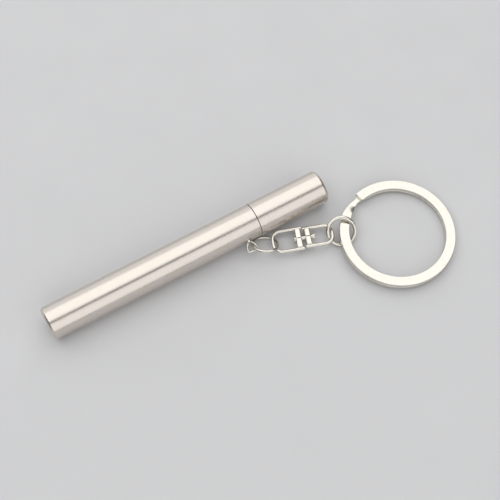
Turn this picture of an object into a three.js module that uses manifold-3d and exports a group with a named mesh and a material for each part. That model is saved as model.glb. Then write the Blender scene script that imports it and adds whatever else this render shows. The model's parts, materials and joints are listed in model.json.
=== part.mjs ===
// Keychain flashlight: a slim steel tube light with a short swivel chain and a split ring.
// Units are millimetres. The tube lies along X with its head toward +X, the chain lies on
// the -Y side, Z is up and everything rests on z = 0.
import * as THREE from "three";
import { mergeVertices } from "three/addons/utils/BufferGeometryUtils.js";
import Module from "manifold-3d";

const wasm = await Module();
wasm.setup();

const DEG = Math.PI / 180;
const ROUND = 36; // sides of the large round shells
const SMALL_ROUND = 20; // sides of the small round pieces

// ---------- driving dimensions ----------

const TUBE = {
  barrelRadius: 4.7,
  headRadius: 4.8,
  boreRadius: 4.25,
  seam: 62.4, // where barrel and head meet, measured from the tail
  length: 83.6,
  endRound: 1.1,
  tailWall: 1.0,
  seamGap: 0.12,
};
const AXIS_HEIGHT = TUBE.headRadius; // the head is the widest, so it rests on the table

const CELL = { start: 12.2, radius: 4.05, length: 41.6, plusRadius: 1.9, plusHeight: 1.0 };
const CELL_END = CELL.start + CELL.length;
const PLUS_END = CELL_END - 0.4 + CELL.plusHeight;
const SPRING_PLATE = { start: 1.15, end: 1.75, radius: 3.95 };
const TAIL_SPRING = { start: 2.35, end: CELL.start - 0.75, from: 3.5, to: 2.4, turns: 5, wire: 0.3 };

const NECK = { start: 56.6, end: 68.4, radius: 4.1, bore: 2.9 };
const SEAL = { groove: 1.1, grooveDepth: 0.7, wire: 0.33, barrelGroove: 59.2, headGroove: 64.8 };

const HEAD = { bore: 4.3, lip: 3.2, lipLength: 0.8, collar: 3.75, collarLength: 1.2 };
const DRIVER = { start: 64.6, end: 65.6, radius: 2.6 };
const CONTACT = {
  start: PLUS_END + 0.4,
  end: DRIVER.start - 0.45,
  from: 0.9,
  to: 2.1,
  turns: 4.5,
  wire: 0.2,
};
const INDUCTOR = { start: DRIVER.end + 0.1, end: DRIVER.end + 1.7, radius: 0.95, offset: 1.2 };
const CHIP = { size: [0.9, 1.3, 1.5], offset: -1.3 };
const SINK = {
  skirt: 65.9,
  skirtInner: 2.3,
  skirtOuter: 2.7,
  start: 69.0,
  end: 71.6,
  radius: 4.1,
  hole: 1.2,
};
const LED_BOARD = { start: 71.8, end: 72.8, radius: 3.7 };
const EMITTER = { size: [0.8, 2.3, 2.3], middle: LED_BOARD.end + 0.5 };
const DOME = { base: LED_BOARD.end + 1.05, skirt: 0.15, radius: 1.25 };
const REFLECTOR = { start: 73.4, end: 80.6, throat: 1.9, mouth: 3.7, outer: 4.1 };
const LENS = { start: 80.9, end: 82.5, radius: 4.1 };

const EYE = {
  along: 58.1, // from the tail
  stemAngle: 5 * DEG, // of its stem, below the horizontal on the chain side
  droop: 30 * DEG, // of its loop, below its stem
  wire: 0.26,
  root: 4.95, // from the tube's axis
  reach: 2.75, // of its loop, from the root
  halfWidth: 1.35,
  stemRadius: 0.5,
  holeRadius: 0.62,
};

const SMALL_RING = { radius: 3.4, wire: 0.37 };
const LARGE_RING = { radius: 3.73, wire: 0.53 };
const SPLIT = {
  radius: 16,
  band: 2.67,
  layer: 1.0,
  layerGap: 0.1,
  lowerEnd: 168 * DEG,
  rampStart: 139 * DEG,
  rampEnd: 163 * DEG,
  upperEnd: 134 * DEG,
  squeeze: 12 * DEG, // before the ramp, over which the band narrows
  rampBand: 1.5, // the band's width at the foot of the ramp
};
const YOKE_ROD = 0.5;
const YOKE_BAR = { depth: 1.8, height: 1.8, edge: 0.35, slit: 0.12 };
const YOKE_A = { length: 8.55, halfWidth: 3.0 };
const YOKE_B = { length: 8.15, halfWidth: 2.9 };
const YOKE_ARM_GAP = 0.4; // between the two yokes' arms, which run a little past their bars
const YOKE_CORNER = 2.3;
const BAR_GAP = 0.8; // between the two yokes' bars
const RIVET = {
  shank: 0.6,
  hole: 0.72,
  head: 0.9,
  flatThick: 0.3,
  flatPlay: 0.1,
  knobThick: 0.8,
  knobPlay: 0.3,
  knobEdge: 0.25,
};

// Where the chain lies at rest: along the tube from its tail, across from its axis, and up
// from the table. Each ring's normal is the axis that it is round.
const PLACE = {
  smallRing: { centre: [61.9, -7.06, 2.46], normal: [0.296, 0.456, 0.839] },
  swivel: { middle: [72.07, -10.36, 2.23], heading: -19.3 * DEG, rise: 0.017, rollA: -0.049, rollB: -0.144 },
  largeRing: { centre: [82.04, -13.79, 2.6], normal: [-0.207, -0.51, 0.835] },
  splitRing: { centre: [95.42, -21.65, 1.84], normal: [0.0476, -0.0074, 0.9988], turn: -29.2 * DEG },
};

// ---------- solids ----------

// A geometry as a manifold solid, after its own matrix if it has one.
function solid(geometry, matrix) {
  const bare = geometry.index ? geometry.toNonIndexed() : geometry.clone();
  bare.deleteAttribute("normal");
  bare.deleteAttribute("uv");
  if (matrix) bare.applyMatrix4(matrix);
  const merged = mergeVertices(bare, 1e-4);
  return new wasm.Manifold(
    new wasm.Mesh({
      numProp: 3,
      vertProperties: new Float32Array(merged.attributes.position.array),
      triVerts: new Uint32Array(merged.index.array),
    }),
  );
}

// A manifold solid back as a geometry with flat normals.
function geometryOf(body) {
  const mesh = body.getMesh();
  const points = new Float32Array(mesh.numVert * 3);
  for (let i = 0; i < mesh.numVert; i++) {
    points.set(mesh.vertProperties.subarray(i * mesh.numProp, i * mesh.numProp + 3), i * 3);
  }
  const geometry = new THREE.BufferGeometry();
  geometry.setAttribute("position", new THREE.BufferAttribute(points, 3));
  geometry.setIndex(new THREE.BufferAttribute(new Uint32Array(mesh.triVerts), 1));
  geometry.computeVertexNormals();
  return geometry;
}

const at = (x, y, z) => new THREE.Matrix4().makeTranslation(x, y, z);

// A turned piece on the tube's axis. outline lists [along, radius] points, closed on itself
// or on the axis, going round so that its faces point out.
function turned(outline, sides = ROUND) {
  const profile = outline.map(([along, radius]) => new THREE.Vector2(radius, along));
  const lathe = new THREE.LatheGeometry(profile, sides);
  lathe.applyMatrix4(new THREE.Matrix4().makeRotationZ(-Math.PI / 2));
  return lathe;
}

// A closed outline of a turned sleeve between two stations and two radii.
function sleeve(start, end, inner, outer) {
  return [
    [start, inner],
    [start, outer],
    [end, outer],
    [end, inner],
    [start, inner],
  ];
}

// A solid disc.
function disc({ start, end, radius }, sides) {
  return turned(
    [
      [start, 0],
      [start, radius],
      [end, radius],
      [end, 0],
    ],
    sides,
  );
}

// Points of a quarter round from one angle to another, for a turned outline.
function arc(along, radius, size, from, to, steps = 5) {
  return Array.from({ length: steps + 1 }, (_, i) => {
    const angle = from + ((to - from) * i) / steps;
    return [along + size * Math.cos(angle), radius + size * Math.sin(angle)];
  });
}

// A round wire along a path.
function wireAlong(path, radius, steps, sides = 10) {
  const shape = new THREE.Shape();
  shape.absarc(0, 0, radius, 0, 2 * Math.PI, false);
  return new THREE.ExtrudeGeometry(shape, {
    steps,
    curveSegments: sides / 2,
    extrudePath: path,
    bevelEnabled: false,
  });
}

// A round wire bent round a circle in the XY plane, its cut ends a small gap apart.
function jumpRing({ radius, wire }, cutAt, steps = 44, sides = 12, gap = 0.12) {
  const rod = new THREE.CylinderGeometry(wire, wire, 1, sides, steps);
  const points = rod.attributes.position;
  const sweep = 2 * Math.PI - gap / radius;
  for (let i = 0; i < points.count; i++) {
    const angle = cutAt + (points.getY(i) + 0.5) * sweep;
    const reach = radius + points.getX(i);
    points.setXYZ(i, reach * Math.cos(angle), reach * Math.sin(angle), points.getZ(i));
  }
  return rod;
}

// ---------- tube ----------

function barrel() {
  const { barrelRadius: r, boreRadius: bore, seam, endRound, tailWall, seamGap } = TUBE;
  const outline = [
    [0, 0],
    [0, r - endRound],
    ...arc(endRound, r - endRound, endRound, Math.PI, Math.PI / 2),
    [seam - seamGap - 0.15, r],
    [seam - seamGap, r - 0.15],
    [seam - seamGap, bore],
    [tailWall, bore],
    [tailWall, 0],
  ];
  const hole = new THREE.CylinderGeometry(EYE.holeRadius, EYE.holeRadius, 2, 16);
  const body = solid(turned(outline)).subtract(solid(hole, eyeMatrix().multiply(at(0, 4.5, 0))));
  return geometryOf(body);
}

// The frame of the eye: its Y axis runs out from the tube's axis, its X axis along the tube.
function eyeMatrix() {
  return at(EYE.along, 0, 0).multiply(new THREE.Matrix4().makeRotationX(Math.PI + EYE.stemAngle));
}

// A teardrop loop of wire, narrow at the tube, hanging from a short stem in the barrel's hole.
function barrelEye() {
  const { root, reach, halfWidth: half } = EYE;
  const side = [
    [0.22, -0.25],
    [0.3, 0],
    [0.8, 0.55],
    [1.2, 1.15],
    [half, reach - 0.5],
    [1.05, reach - 0.14],
    [0.45, reach],
  ];
  const points = [
    ...side,
    ...side
      .slice()
      .reverse()
      .map(([x, y]) => [-x, y]),
  ].map(([x, y]) => new THREE.Vector3(x, y, 0));
  const loop = new THREE.CatmullRomCurve3(points);
  const hanging = at(0, root, 0).multiply(new THREE.Matrix4().makeRotationX(EYE.droop));
  const stem = new THREE.CylinderGeometry(EYE.stemRadius, EYE.stemRadius, 0.8, 16);
  const body = solid(wireAlong(loop, EYE.wire, 40, 8), hanging).add(solid(stem, at(0, root - 0.2, 0)));
  return geometryOf(body).applyMatrix4(eyeMatrix());
}

function headShell() {
  const { headRadius: r, seam, length, endRound } = TUBE;
  const { bore, lip, lipLength, collar, collarLength } = HEAD;
  return turned([
    [seam, collar],
    [seam, r - 0.15],
    [seam + 0.15, r],
    ...arc(length - endRound, r - endRound, endRound, Math.PI / 2, 0),
    [length, lip + 0.25],
    [length - 0.25, lip],
    [length - lipLength, lip],
    [length - lipLength, bore],
    [seam + collarLength, bore],
    [seam + collarLength, collar],
    [seam, collar],
  ]);
}

// ---------- inside the barrel ----------

// A conical coil of wire round the tube's axis.
function coil({ start, end, from, to, turns, wire }, steps) {
  class Coil extends THREE.Curve {
    getPoint(t, target = new THREE.Vector3()) {
      const angle = 2 * Math.PI * turns * t;
      const radius = THREE.MathUtils.lerp(from, to, t);
      const along = THREE.MathUtils.lerp(start, end, t);
      return target.set(along, radius * Math.cos(angle), radius * Math.sin(angle));
    }
  }
  return wireAlong(new Coil(), wire, steps, 6);
}

// The cell: a steel can whose jacket stops short of its plus end.
function cellCan() {
  const { start, radius } = CELL;
  return turned([
    [start, 0],
    [start, radius - 0.7],
    [start + 0.3, radius - 0.35],
    [CELL_END - 1.0, radius - 0.35],
    [CELL_END - 0.6, radius - 0.6],
    [CELL_END - 0.6, 0],
  ]);
}

function cellJacket() {
  const { start, radius } = CELL;
  return turned(sleeve(start + 0.5, CELL_END - 1.1, radius - 0.22, radius));
}

function cellCap() {
  const base = CELL_END - 0.4;
  const { plusRadius: plus, plusHeight: high } = CELL;
  return turned(
    [
      [base, 0],
      [base, 3.0],
      [base + 0.3, 3.0],
      [base + 0.3, plus],
      [base + high, plus - 0.15],
      [base + high, 0],
    ],
    SMALL_ROUND,
  );
}

// ---------- the neck that joins head and barrel ----------

// A bush with a groove for each seal and a shoulder for the head to turn on.
function neckBush() {
  const { start, end, radius, bore } = NECK;
  const floor = radius - SEAL.grooveDepth;
  const groove = (from) => [
    [from, radius],
    [from, floor],
    [from + SEAL.groove, floor],
    [from + SEAL.groove, radius],
  ];
  return turned([
    [start, bore],
    [start, radius - 0.2],
    [start + 0.2, radius],
    ...groove(SEAL.barrelGroove),
    [TUBE.seam - 0.4, radius],
    [TUBE.seam - 0.4, 3.65],
    [TUBE.seam + 1.4, 3.65],
    [TUBE.seam + 1.4, radius],
    ...groove(SEAL.headGroove),
    [end, radius],
    [end, bore],
    [start, bore],
  ]);
}

// A round-section seal in a neck groove.
function seal(groove) {
  const ring = new THREE.TorusGeometry(NECK.radius - 0.3, SEAL.wire, 8, ROUND);
  ring.applyMatrix4(new THREE.Matrix4().makeRotationY(Math.PI / 2));
  return ring.translate(groove + SEAL.groove / 2, 0, 0);
}

// ---------- inside the head ----------

// A disc under the LED board, with a skirt that holds the driver board inside the neck.
function heatSink() {
  const { skirt, start, end, radius, hole, skirtInner, skirtOuter } = SINK;
  return turned([
    [skirt, skirtInner],
    [skirt, skirtOuter],
    [start, skirtOuter],
    [start, radius - 0.3],
    [start + 0.3, radius],
    [end, radius],
    [end, hole],
    [start, hole],
    [start, skirtInner],
    [skirt, skirtInner],
  ]);
}

function reflector() {
  const { start, end, throat, mouth, outer } = REFLECTOR;
  const steps = 6;
  const bowl = Array.from({ length: steps + 1 }, (_, i) => {
    const t = 1 - i / steps;
    return [start + (end - start) * t * t, throat + (mouth - throat) * t];
  });
  return turned([
    [start, throat],
    [start, throat + 0.45],
    [start + 2.4, throat + 1.4],
    [end - 1.0, outer - 0.1],
    [end - 1.0, outer],
    [end, outer],
    ...bowl,
  ]);
}

function ledDome() {
  const { base, skirt, radius } = DOME;
  return turned([[base, 0], [base, radius], ...arc(base + skirt, 0, radius, Math.PI / 2, 0, 6)], SMALL_ROUND);
}

function lens() {
  const { start, end, radius } = LENS;
  return turned([
    [start, 0],
    [start, radius - 0.15],
    [start + 0.15, radius],
    [end, radius],
    [end, 3.3],
    [end + 0.25, 2.6],
    [end + 0.35, 0],
  ]);
}

// ---------- chain ----------

// The open end of a yoke: a rod bent to a U, with a slit bar across that the rivet passes.
function yoke({ length, halfWidth: half }) {
  const barCentre = BAR_GAP / 2 + YOKE_BAR.depth / 2;
  const end = BAR_GAP / 2 + length - YOKE_ROD;
  const turn = end - YOKE_CORNER;
  const armEnd = YOKE_ARM_GAP / 2;
  const path = new THREE.CurvePath();
  const p = (x, y) => new THREE.Vector3(x, y, 0);
  const k = YOKE_CORNER * 0.5523;
  const flat = half - YOKE_CORNER;
  path.add(new THREE.LineCurve3(p(armEnd, -half), p(turn, -half)));
  path.add(
    new THREE.CubicBezierCurve3(p(turn, -half), p(turn + k, -half), p(end, -flat - k), p(end, -flat)),
  );
  path.add(new THREE.LineCurve3(p(end, -flat), p(end, flat)));
  path.add(new THREE.CubicBezierCurve3(p(end, flat), p(end, flat + k), p(turn + k, half), p(turn, half)));
  path.add(new THREE.LineCurve3(p(turn, half), p(armEnd, half)));
  const rod = wireAlong(path, YOKE_ROD, 40, 12);
  return solid(rod).add(yokeBar(barCentre, half)).subtract(yokeCuts(barCentre));
}

// A bar across both arms, square with rounded edges.
function yokeBar(centre, half) {
  const { edge } = YOKE_BAR;
  const x = YOKE_BAR.depth / 2;
  const y = YOKE_BAR.height / 2;
  const shape = new THREE.Shape();
  shape.moveTo(edge - x, -y);
  shape.lineTo(x - edge, -y);
  shape.quadraticCurveTo(x, -y, x, edge - y);
  shape.lineTo(x, y - edge);
  shape.quadraticCurveTo(x, y, x - edge, y);
  shape.lineTo(edge - x, y);
  shape.quadraticCurveTo(-x, y, -x, y - edge);
  shape.lineTo(-x, edge - y);
  shape.quadraticCurveTo(-x, -y, edge - x, -y);
  const bar = new THREE.ExtrudeGeometry(shape, { depth: 2 * half, bevelEnabled: false, curveSegments: 4 });
  const across = new THREE.Matrix4().makeRotationX(Math.PI / 2);
  return solid(bar, at(centre, half, 0).multiply(across));
}

function yokeCuts(centre) {
  const along = new THREE.Matrix4().makeRotationZ(Math.PI / 2);
  const hole = new THREE.CylinderGeometry(RIVET.hole, RIVET.hole, 4, SMALL_ROUND);
  const slit = new THREE.BoxGeometry(YOKE_BAR.depth + 1, YOKE_BAR.slit, 3);
  return solid(hole, at(centre, 0, 0).multiply(along)).add(solid(slit, at(centre, 0, 0)));
}

// The rivet lies along X through both bars, with a flat head inside yoke A and a knob inside B.
function rivet() {
  const { shank, head, flatThick, flatPlay, knobThick, knobPlay, knobEdge } = RIVET;
  const bars = BAR_GAP / 2 + YOKE_BAR.depth;
  const flat = -bars - flatPlay;
  const knob = bars + knobPlay;
  return turned(
    [
      [flat - flatThick, 0],
      [flat - flatThick, head],
      [flat, head],
      [flat, shank],
      [knob, shank],
      [knob, head],
      [knob + knobThick - knobEdge, head],
      [knob + knobThick, head - knobEdge],
      [knob + knobThick, 0],
    ],
    SMALL_ROUND,
  );
}

// A flat bar wound twice round: along the lower layer, up a short ramp and along the upper.
function splitRing() {
  const { radius, band, layer, layerGap, rampBand } = SPLIT;
  const around = 2 * Math.PI;
  const rampStart = SPLIT.rampStart + around;
  const rampEnd = SPLIT.rampEnd + around;
  const bar = new THREE.BoxGeometry(1, band, layer, 190, 1, 1);
  const rise = (layer + layerGap) / 2;
  const points = bar.attributes.position;
  for (let i = 0; i < points.count; i++) {
    const angle = THREE.MathUtils.lerp(SPLIT.lowerEnd, SPLIT.upperEnd + 2 * around, points.getX(i) + 0.5);
    const climb = THREE.MathUtils.smoothstep(angle, rampStart, rampEnd);
    const squeeze = THREE.MathUtils.smoothstep(angle, rampStart - SPLIT.squeeze, rampStart) * (1 - climb);
    const width = THREE.MathUtils.lerp(1, rampBand / band, squeeze);
    const reach = radius - band / 2 - points.getY(i) * width;
    const height = points.getZ(i) + THREE.MathUtils.lerp(-rise, rise, climb);
    points.setXYZ(i, reach * Math.cos(angle), reach * Math.sin(angle), height);
  }
  return bar;
}

// ---------- assembly ----------

const FINISH = {
  steel: new THREE.MeshStandardMaterial({ color: 0xb9b5ab, roughness: 0.3, metalness: 1 }),
  nickel: new THREE.MeshStandardMaterial({ color: 0xd6d2c8, roughness: 0.15, metalness: 1 }),
  brass: new THREE.MeshStandardMaterial({ color: 0xb8964f, roughness: 0.35, metalness: 1 }),
  spring: new THREE.MeshStandardMaterial({ color: 0xa8a8a4, roughness: 0.3, metalness: 1 }),
  aluminium: new THREE.MeshStandardMaterial({ color: 0xc3c5c7, roughness: 0.4, metalness: 1 }),
  mirror: new THREE.MeshStandardMaterial({ color: 0xe8e8e8, roughness: 0.05, metalness: 1 }),
  rubber: new THREE.MeshStandardMaterial({ color: 0x1c1c1c, roughness: 0.8, metalness: 0 }),
  jacket: new THREE.MeshStandardMaterial({ color: 0x2b3a4a, roughness: 0.4, metalness: 0 }),
  board: new THREE.MeshStandardMaterial({ color: 0x1d5a36, roughness: 0.5, metalness: 0 }),
  chip: new THREE.MeshStandardMaterial({ color: 0x202020, roughness: 0.5, metalness: 0 }),
  clear: new THREE.MeshStandardMaterial({ color: 0xe9eef0, roughness: 0.05, metalness: 0 }),
  phosphor: new THREE.MeshStandardMaterial({ color: 0xe6d44a, roughness: 0.5, metalness: 0 }),
};

const part = new THREE.Group();
const tube = new THREE.Group();
tube.position.z = AXIS_HEIGHT;
part.add(tube);

function piece(parent, name, geometry, material, matrix) {
  const mesh = new THREE.Mesh(geometry, material);
  mesh.name = name;
  if (matrix) mesh.applyMatrix4(matrix);
  parent.add(mesh);
  return mesh;
}

piece(tube, "barrel", barrel(), FINISH.steel);
piece(tube, "barrel_eye", barrelEye(), FINISH.nickel);
piece(tube, "spring_plate", disc(SPRING_PLATE, SMALL_ROUND), FINISH.brass);
piece(tube, "tail_spring", coil(TAIL_SPRING, 90), FINISH.spring);
piece(tube, "cell_can", cellCan(), FINISH.aluminium);
piece(tube, "cell_jacket", cellJacket(), FINISH.jacket);
piece(tube, "cell_cap", cellCap(), FINISH.brass);

piece(tube, "neck_bush", neckBush(), FINISH.brass);
piece(tube, "barrel_seal", seal(SEAL.barrelGroove), FINISH.rubber);
piece(tube, "head_seal", seal(SEAL.headGroove), FINISH.rubber);
piece(tube, "contact_spring", coil(CONTACT, 64), FINISH.spring);
piece(tube, "driver_board", disc(DRIVER, SMALL_ROUND), FINISH.board);
piece(tube, "inductor", disc(INDUCTOR, SMALL_ROUND).translate(0, INDUCTOR.offset, 0), FINISH.chip);
piece(
  tube,
  "converter_chip",
  new THREE.BoxGeometry(...CHIP.size).translate(DRIVER.end + 0.1 + CHIP.size[0] / 2, CHIP.offset, 0),
  FINISH.chip,
);

piece(tube, "head_shell", headShell(), FINISH.steel);
piece(tube, "heat_sink", heatSink(), FINISH.aluminium);
piece(tube, "led_board", disc(LED_BOARD, ROUND), FINISH.board);
piece(
  tube,
  "led_emitter",
  new THREE.BoxGeometry(...EMITTER.size).translate(EMITTER.middle, 0, 0),
  FINISH.phosphor,
);
piece(tube, "led_dome", ledDome(), FINISH.clear);
piece(tube, "reflector", reflector(), FINISH.mirror);
piece(tube, "lens", lens(), FINISH.clear);

const chain = new THREE.Group();
part.add(chain);

// A ring lying with its axis along a normal, turned about it by an angle.
function lying({ centre, normal, turn = 0 }) {
  const up = new THREE.Vector3(0, 0, 1);
  const leaning = new THREE.Quaternion().setFromUnitVectors(up, new THREE.Vector3(...normal).normalize());
  const spin = new THREE.Quaternion().setFromAxisAngle(up, turn);
  const place = new THREE.Vector3(...centre);
  return new THREE.Matrix4().compose(place, leaning.multiply(spin), new THREE.Vector3(1, 1, 1));
}

// A swivel piece whose X axis points along a heading, climbs by rise and is rolled about itself.
function pointing(centre, heading, rise, roll) {
  const turn = new THREE.Euler(roll, -rise, heading, "ZYX");
  return new THREE.Matrix4().makeRotationFromEuler(turn).setPosition(...centre);
}

const { middle, heading, rise, rollA, rollB } = PLACE.swivel;

piece(chain, "jump_ring_small", jumpRing(SMALL_RING, 60 * DEG), FINISH.nickel, lying(PLACE.smallRing));
piece(
  chain,
  "swivel_yoke_a",
  geometryOf(yoke(YOKE_A)),
  FINISH.nickel,
  pointing(middle, heading + Math.PI, -rise, rollA),
);
piece(
  chain,
  "swivel_yoke_b",
  geometryOf(yoke(YOKE_B)),
  FINISH.nickel,
  pointing(middle, heading, rise, rollB),
);
piece(chain, "swivel_rivet", rivet(), FINISH.nickel, pointing(middle, heading, rise, 0));
piece(chain, "jump_ring_large", jumpRing(LARGE_RING, 5 * DEG), FINISH.nickel, lying(PLACE.largeRing));
piece(chain, "split_ring", splitRing(), FINISH.nickel, lying(PLACE.splitRing));

// The origin is the middle of the bottom of the whole object's box.
const box = new THREE.Box3().setFromObject(part, true);
const centre = box.getCenter(new THREE.Vector3());
part.position.set(-centre.x, -centre.y, -box.min.z);

export default part;
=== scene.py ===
"""The looks of a keychain flashlight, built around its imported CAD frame.

The tube lies along X with its head toward +X, the chain lies on the -Y side and Z is up.
Every piece stands for one CAD node and takes its place and size from it. Pieces are drawn
in millimetres in a frame of their own and then placed in metres.
"""

import json
import math

import bpy
import numpy as np
from mathutils import Matrix, Vector


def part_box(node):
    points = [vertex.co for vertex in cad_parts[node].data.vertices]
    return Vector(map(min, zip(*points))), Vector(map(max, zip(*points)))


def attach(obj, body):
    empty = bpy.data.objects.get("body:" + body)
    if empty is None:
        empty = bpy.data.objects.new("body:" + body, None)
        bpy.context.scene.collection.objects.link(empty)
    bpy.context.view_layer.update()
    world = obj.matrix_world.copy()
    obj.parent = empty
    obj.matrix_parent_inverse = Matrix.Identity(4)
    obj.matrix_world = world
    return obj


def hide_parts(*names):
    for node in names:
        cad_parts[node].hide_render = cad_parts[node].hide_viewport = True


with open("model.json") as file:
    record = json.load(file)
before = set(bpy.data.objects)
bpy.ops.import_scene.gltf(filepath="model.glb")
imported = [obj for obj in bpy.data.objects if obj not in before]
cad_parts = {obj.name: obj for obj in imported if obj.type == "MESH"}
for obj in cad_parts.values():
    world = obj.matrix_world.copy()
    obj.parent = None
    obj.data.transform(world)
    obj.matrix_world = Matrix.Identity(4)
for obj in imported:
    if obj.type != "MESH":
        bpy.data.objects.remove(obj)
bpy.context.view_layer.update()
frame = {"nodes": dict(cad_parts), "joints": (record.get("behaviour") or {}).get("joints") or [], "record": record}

MM = 0.001
TURN = 2 * math.pi
UP = Vector((0, 0, 1))
JOINTS = {joint["name"]: joint for joint in frame["joints"]}
BODY_OF = {node: body for body, nodes in frame["record"]["behaviour"]["bodies"].items() for node in nodes}
SLOT_OF = {part["node"]: part["material_slot"] for part in frame["record"]["subparts"]}

FINE_ROUND = 160  # sides of the tube's shells
ROUND = 96  # sides of the pieces inside
WIRE_SIDES = 20


# ---------- places, read from the frame ----------


def centre_of(node):
    """The middle of a node's box."""
    low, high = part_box(node)
    return (low + high) / 2


def reach_of(node):
    """Where a turned node starts and ends along the tube, and its largest radius, in mm."""
    low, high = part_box(node)
    return low.x / MM, high.x / MM, (high.z - low.z) / 2 / MM


def points_of(node):
    return np.array([v.co for v in frame["nodes"][node].data.vertices])


def flat_normal(points):
    """The upward normal of the plane that points lie nearest to."""
    normal = np.linalg.svd(points - points.mean(axis=0), full_matrices=False)[2][2]
    return Vector(normal if normal[2] > 0 else -normal).normalized()


def in_mm(matrix):
    """A frame in metres for a piece that is drawn in millimetres."""
    return matrix @ Matrix.Scale(MM, 4)


def lying(centre, normal):
    """The frame of a ring: its Z axis is the ring's, turned the shortest way from upright."""
    return in_mm(Matrix.Translation(centre) @ UP.rotation_difference(normal).to_matrix().to_4x4())


def frame_of(origin, x_axis, y_axis, z_axis):
    matrix = Matrix((x_axis, y_axis, z_axis)).transposed().to_4x4()
    matrix.translation = origin
    return in_mm(matrix)


AXIS = centre_of("barrel")  # a point on the tube's axis
TUBE_FRAME = in_mm(Matrix.Translation((0, AXIS.y, AXIS.z)))
TAIL, SEAM, BARREL_RADIUS = reach_of("barrel")
HEAD_START, HEAD_END, HEAD_RADIUS = reach_of("head_shell")


# ---------- meshes ----------


def add_piece(name, mesh_data, matrix, node, sharp=30):
    """A mesh that stands for a CAD node, rides on its body and takes its slot's material."""
    vertices, faces = mesh_data
    mesh = bpy.data.meshes.new(name)
    mesh.from_pydata([tuple(matrix @ Vector(v)) for v in vertices], [], faces)
    mesh.validate()
    mesh.polygons.foreach_set("use_smooth", [True] * len(mesh.polygons))
    mesh.set_sharp_from_angle(angle=math.radians(sharp))
    piece = bpy.data.objects.new(name, mesh)
    bpy.context.scene.collection.objects.link(piece)
    slot = SLOT_OF[node]
    mesh.materials.append(MATERIALS[slot])
    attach(piece, BODY_OF[node])
    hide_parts(node)
    return piece


def ring_faces(rows, sides, closed=False):
    """Quads between rows of points, each row closed on itself."""
    faces = []
    for row in range(rows if closed else rows - 1):
        here = row * sides
        there = (row + 1) % rows * sides
        for side in range(sides):
            after = (side + 1) % sides
            faces.append((here + side, here + after, there + after, there + side))
    return faces


def capped(rows, sides):
    """The faces of rows of points with both ends closed."""
    last = (rows - 1) * sides
    ends = [tuple(reversed(range(sides))), tuple(range(last, last + sides))]
    return ring_faces(rows, sides) + ends


def turned(outline, sides=ROUND):
    """An outline of [along, radius] points turned about X.

    It either closes on itself or starts and ends on the axis."""
    solid = outline[0][1] == 0
    rows = outline[1:-1] if solid else outline
    vertices = []
    for along, radius in rows:
        for side in range(sides):
            angle = TURN * side / sides
            vertices.append((along, radius * math.cos(angle), radius * math.sin(angle)))
    faces = capped(len(rows), sides) if solid else ring_faces(len(rows), sides, closed=True)
    return vertices, faces


def corner(along, radius, size, start, end, steps=6):
    """Points of a round corner between two angles in degrees."""
    angles = [math.radians(start + (end - start) * i / steps) for i in range(steps + 1)]
    return [(along + size * math.cos(a), radius + size * math.sin(a)) for a in angles]


def soft_disc(start, end, radius, edge=0.08):
    """A disc's outline with softened edges."""
    return [
        (start, 0),
        *corner(start + edge, radius - edge, edge, 180, 90, 4),
        *corner(end - edge, radius - edge, edge, 90, 0, 4),
        (end, 0),
    ]


def swept(path, radius, sides=WIRE_SIDES, closed=False):
    """A round wire along a list of points."""
    points = [Vector(p) for p in path]
    count = len(points)
    tangents = []
    for i in range(count):
        before = points[i - 1] if closed or i else points[i]
        after = points[(i + 1) % count] if closed or i < count - 1 else points[i]
        tangents.append((after - before).normalized())
    across = tangents[0].orthogonal().normalized()
    vertices = []
    for i, tangent in enumerate(tangents):
        if i:
            across.rotate(tangents[i - 1].rotation_difference(tangent))
        over = tangent.cross(across)
        for side in range(sides):
            angle = TURN * side / sides
            vertices.append(points[i] + (across * math.cos(angle) + over * math.sin(angle)) * radius)
    faces = ring_faces(count, sides, closed=True) if closed else capped(count, sides)
    return vertices, faces


def joined(*meshes):
    """Several lists of vertices and faces as one."""
    vertices, faces = [], []
    for some_vertices, some_faces in meshes:
        start = len(vertices)
        vertices += some_vertices
        faces += [tuple(start + index for index in face) for face in some_faces]
    return vertices, faces


def moved(mesh_data, offset):
    """A mesh moved by an offset."""
    vertices, faces = mesh_data
    return [Vector(v) + Vector(offset) for v in vertices], faces


def soft_box(size, edge=0.06, steps=3):
    """A box about the origin with rounded edges, its long way round in rows along X."""
    long, wide, high = (length / 2 for length in size)
    rows = []
    for i in range(steps + 1):
        angle = math.pi / 2 * i / steps
        rows.append((-long + edge * (1 - math.sin(angle)), edge * (1 - math.cos(angle))))
    rows = rows + [(-along, inset) for along, inset in reversed(rows)]
    section = []
    for i in range(4 * (steps + 1)):
        quarter = i // (steps + 1)
        angle = math.pi / 2 * (quarter + i % (steps + 1) / steps)
        across = math.copysign(wide - edge, math.cos(math.pi / 4 + math.pi / 2 * quarter))
        up = math.copysign(high - edge, math.sin(math.pi / 4 + math.pi / 2 * quarter))
        section.append((across, up, math.cos(angle), math.sin(angle)))
    vertices = []
    for along, inset in rows:
        round_edge = edge - inset
        vertices += [(along, a + round_edge * c, u + round_edge * s) for a, u, c, s in section]
    return vertices, capped(len(rows), len(section))


def raw_object(name, mesh_data):
    vertices, faces = mesh_data
    mesh = bpy.data.meshes.new(name)
    mesh.from_pydata([tuple(v) for v in vertices], [], faces)
    shape = bpy.data.objects.new(name, mesh)
    bpy.context.scene.collection.objects.link(shape)
    return shape


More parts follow.
